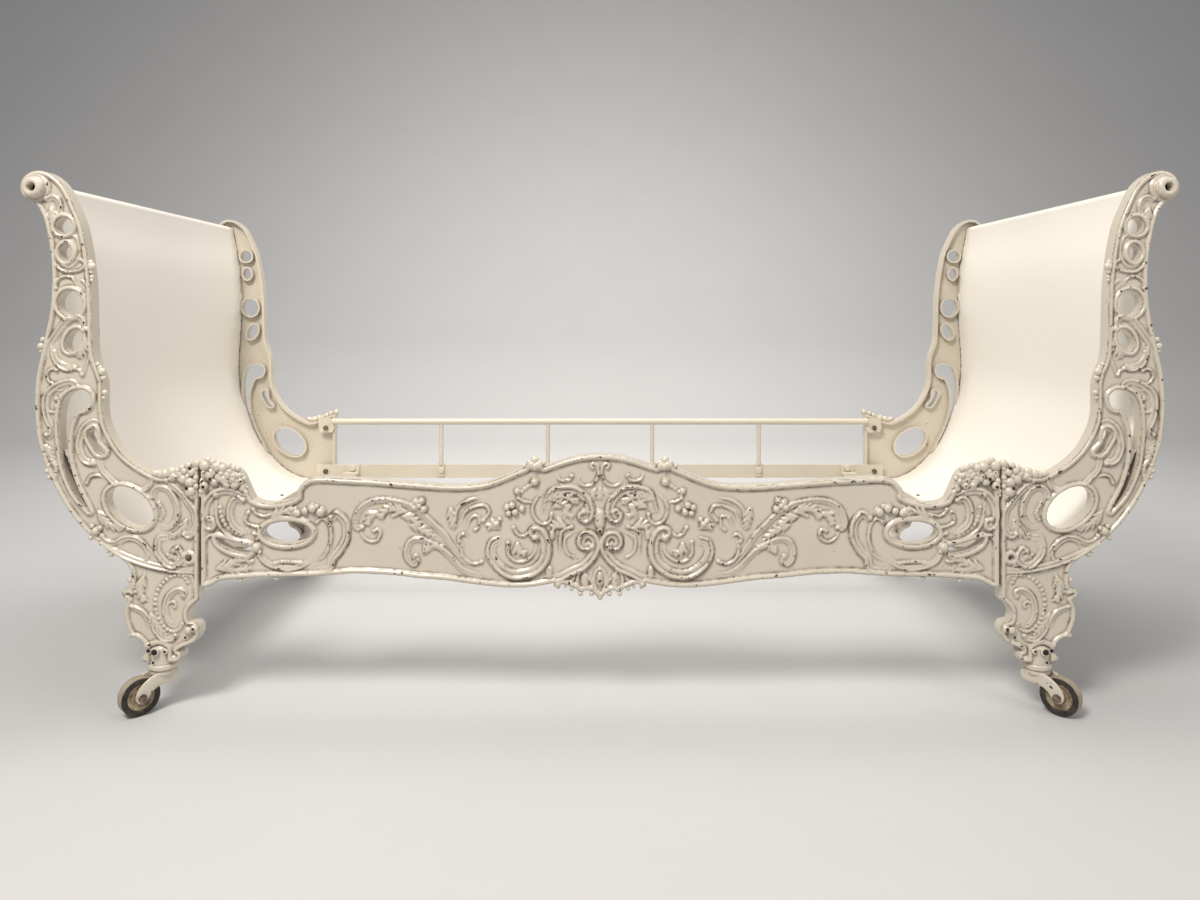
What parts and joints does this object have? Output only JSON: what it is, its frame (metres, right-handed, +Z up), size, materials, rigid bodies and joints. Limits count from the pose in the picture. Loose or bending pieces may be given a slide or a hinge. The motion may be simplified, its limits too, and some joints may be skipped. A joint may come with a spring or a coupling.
{
  "type": "daybed",
  "caption": "Cast-iron daybed with scrolled pierced side castings, rolled sheet ends, an ornate front rail, a plain spindled rear rail and swivel casters.",
  "frame": {"origin": "on the floor, midway between the four casters", "axes": "+X along the bed to the right-hand end seen from the front, +Y from the ornate front rail to the plain rear rail, +Z up"},
  "size_m": [2.006, 0.8882, 0.9351],
  "materials": {
    "cast_enamel": "worn cream enamel over cast iron, brown in the hollows",
    "sheet_enamel": "smooth cream enamel on sheet iron",
    "bar_enamel": "cream enamel on bar and tube",
    "rusty_steel": "dull brown rust",
    "caster_iron": "worn cream paint over iron",
    "caster_disc": "worn brown turned wood",
    "caster_tyre": "dark worn tread"
  },
  "bodies": {
    "frame": {"front_rail_casting": "cast_enamel", "front_rail_lower_bolt": "rusty_steel", "front_rail_lower_nut": "rusty_steel", "front_rail_upper_bolts": "rusty_steel", "left_cross_bar": "bar_enamel", "left_cross_bar_bolts": "rusty_steel", "left_end_panel": "sheet_enamel", "left_front_caster_ring": "caster_iron", "left_front_side_casting": "cast_enamel", "left_panel_screws": "rusty_steel", "left_rear_caster_ring": "caster_iron", "left_rear_side_casting": "cast_enamel", "left_rear_spring_bracket": "bar_enamel", "left_tie_tube": "bar_enamel", "rear_rail_bar": "bar_enamel", "rear_rail_bolts": "rusty_steel", "rear_rail_rivets": "bar_enamel", "rear_rail_spindle_1": "bar_enamel", "rear_rail_spindle_2": "bar_enamel", "rear_rail_spindle_3": "bar_enamel", "rear_rail_spindle_4": "bar_enamel", "rear_rail_top_rod": "bar_enamel", "rear_spring_bracket_rivets": "bar_enamel", "right_cross_bar": "bar_enamel", "right_cross_bar_bolts": "rusty_steel", "right_end_panel": "sheet_enamel", "right_front_caster_ring": "caster_iron", "right_front_side_casting": "cast_enamel", "right_panel_screws": "rusty_steel", "right_rear_caster_ring": "caster_iron", "right_rear_side_casting": "cast_enamel", "right_rear_spring_bracket": "bar_enamel", "right_tie_tube": "bar_enamel"},
    "right_front_caster_fork": {"right_front_caster_stem": "caster_iron", "right_front_caster_horn": "caster_iron", "right_front_caster_axle": "caster_iron"},
    "right_front_caster_wheel": {"right_front_caster_disc": "caster_disc", "right_front_caster_tyre": "caster_tyre"},
    "right_rear_caster_fork": {"right_rear_caster_stem": "caster_iron", "right_rear_caster_horn": "caster_iron", "right_rear_caster_axle": "caster_iron"},
    "right_rear_caster_wheel": {"right_rear_caster_disc": "caster_disc", "right_rear_caster_tyre": "caster_tyre"},
    "left_front_caster_fork": {"left_front_caster_stem": "caster_iron", "left_front_caster_horn": "caster_iron", "left_front_caster_axle": "caster_iron"},
    "left_front_caster_wheel": {"left_front_caster_disc": "caster_disc", "left_front_caster_tyre": "caster_tyre"},
    "left_rear_caster_fork": {"left_rear_caster_stem": "caster_iron", "left_rear_caster_horn": "caster_iron", "left_rear_caster_axle": "caster_iron"},
    "left_rear_caster_wheel": {"left_rear_caster_disc": "caster_disc", "left_rear_caster_tyre": "caster_tyre"}
  },
  "joints": [
    {"name": "right_front_swivel", "type": "hinge", "parent": "frame", "child": "right_front_caster_fork", "pos_m": [0.7635, -0.385, 0.07], "axis": [0, 0, 1], "continuous": true},
    {"name": "right_front_roll", "type": "hinge", "parent": "right_front_caster_fork", "child": "right_front_caster_wheel", "pos_m": [0.79078, -0.41425, 0.032], "axis": [0.7314, 0.682, 0], "continuous": true},
    {"name": "right_rear_swivel", "type": "hinge", "parent": "frame", "child": "right_rear_caster_fork", "pos_m": [0.7635, 0.385, 0.07], "axis": [0, 0, 1], "continuous": true},
    {"name": "right_rear_roll", "type": "hinge", "parent": "right_rear_caster_fork", "child": "right_rear_caster_wheel", "pos_m": [0.79078, 0.41425, 0.032], "axis": [0.7314, -0.682, 0], "continuous": true},
    {"name": "left_front_swivel", "type": "hinge", "parent": "frame", "child": "left_front_caster_fork", "pos_m": [-0.7635, -0.385, 0.07], "axis": [0, 0, 1], "continuous": true},
    {"name": "left_front_roll", "type": "hinge", "parent": "left_front_caster_fork", "child": "left_front_caster_wheel", "pos_m": [-0.79078, -0.41425, 0.032], "axis": [-0.7314, 0.682, 0], "continuous": true},
    {"name": "left_rear_swivel", "type": "hinge", "parent": "frame", "child": "left_rear_caster_fork", "pos_m": [-0.7635, 0.385, 0.07], "axis": [0, 0, 1], "continuous": true},
    {"name": "left_rear_roll", "type": "hinge", "parent": "left_rear_caster_fork", "child": "left_rear_caster_wheel", "pos_m": [-0.79078, 0.41425, 0.032], "axis": [-0.7314, -0.682, 0], "continuous": true}
  ]
}
